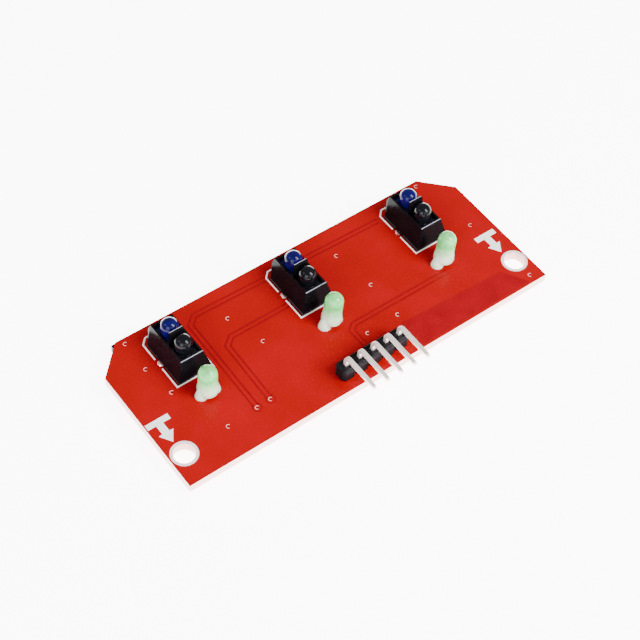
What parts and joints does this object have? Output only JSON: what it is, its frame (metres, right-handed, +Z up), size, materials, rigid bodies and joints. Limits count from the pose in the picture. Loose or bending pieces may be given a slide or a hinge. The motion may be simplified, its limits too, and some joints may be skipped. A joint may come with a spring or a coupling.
{
  "type": "line follower sensor board",
  "caption": "Red circuit board with a row of reflective infrared sensors, an indicator LED for each and a right-angle pin header, for steering a small robot along a line.",
  "frame": {"origin": "midway between the two mounting holes, on the board's component face", "axes": "+X along the sensor row, +Y from the header edge to the sensor edge, +Z up from the component face, along the mounting screws"},
  "size_m": [0.0686, 0.0323, 0.0097],
  "materials": {
    "board_red": "glossy solder mask over FR4",
    "tinned_metal": "tinned",
    "housing_black": "semi-gloss moulding",
    "emitter_blue": "clear blue resin",
    "detector_black": "polished dark resin",
    "led_green": "diffused pale green resin",
    "header_black": "satin moulding",
    "pin_metal": "bright tin plate",
    "chip_black": "matt moulding",
    "rotor_white": "satin",
    "solder": "reflowed solder",
    "capacitor_tan": "fired ceramic"
  },
  "bodies": {
    "board": {"circuit_board": "board_red", "hole_lands": "tinned_metal", "sensor_1_housing": "housing_black", "sensor_1_emitter": "emitter_blue", "sensor_1_detector": "detector_black", "sensor_1_leads": "tinned_metal", "sensor_2_housing": "housing_black", "sensor_2_emitter": "emitter_blue", "sensor_2_detector": "detector_black", "sensor_2_leads": "tinned_metal", "sensor_3_housing": "housing_black", "sensor_3_emitter": "emitter_blue", "sensor_3_detector": "detector_black", "sensor_3_leads": "tinned_metal", "led_1_lens": "led_green", "led_1_anode": "tinned_metal", "led_1_cathode": "tinned_metal", "led_2_lens": "led_green", "led_2_anode": "tinned_metal", "led_2_cathode": "tinned_metal", "led_3_lens": "led_green", "led_3_anode": "tinned_metal", "led_3_cathode": "tinned_metal", "header_block": "header_black", "header_pin_1": "pin_metal", "header_pin_2": "pin_metal", "header_pin_3": "pin_metal", "header_pin_4": "pin_metal", "header_pin_5": "pin_metal", "comparator_body": "chip_black", "comparator_leads": "tinned_metal", "trimmer_1_base": "header_black", "trimmer_1_terminals": "tinned_metal", "trimmer_2_base": "header_black", "trimmer_2_terminals": "tinned_metal", "trimmer_3_base": "header_black", "trimmer_3_terminals": "tinned_metal", "resistor_bodies": "chip_black", "resistor_caps": "solder", "capacitor_bodies": "capacitor_tan", "capacitor_caps": "solder", "solder_sensors": "solder", "solder_leds": "solder", "solder_header": "solder"},
    "rotor_1": {"trimmer_1_rotor": "rotor_white"},
    "rotor_2": {"trimmer_2_rotor": "rotor_white"},
    "rotor_3": {"trimmer_3_rotor": "rotor_white"}
  },
  "joints": [
    {"name": "trimmer_1_turn", "type": "hinge", "parent": "board", "child": "rotor_1", "pos_m": [-0.0282, 0.0217, -0.0021], "axis": [0, 0, -1], "range_deg": [-120, 120]},
    {"name": "trimmer_2_turn", "type": "hinge", "parent": "board", "child": "rotor_2", "pos_m": [-0.0052, 0.0217, -0.0021], "axis": [0, 0, -1], "range_deg": [-120, 120]},
    {"name": "trimmer_3_turn", "type": "hinge", "parent": "board", "child": "rotor_3", "pos_m": [0.0178, 0.0217, -0.0021], "axis": [0, 0, -1], "range_deg": [-120, 120]}
  ]
}
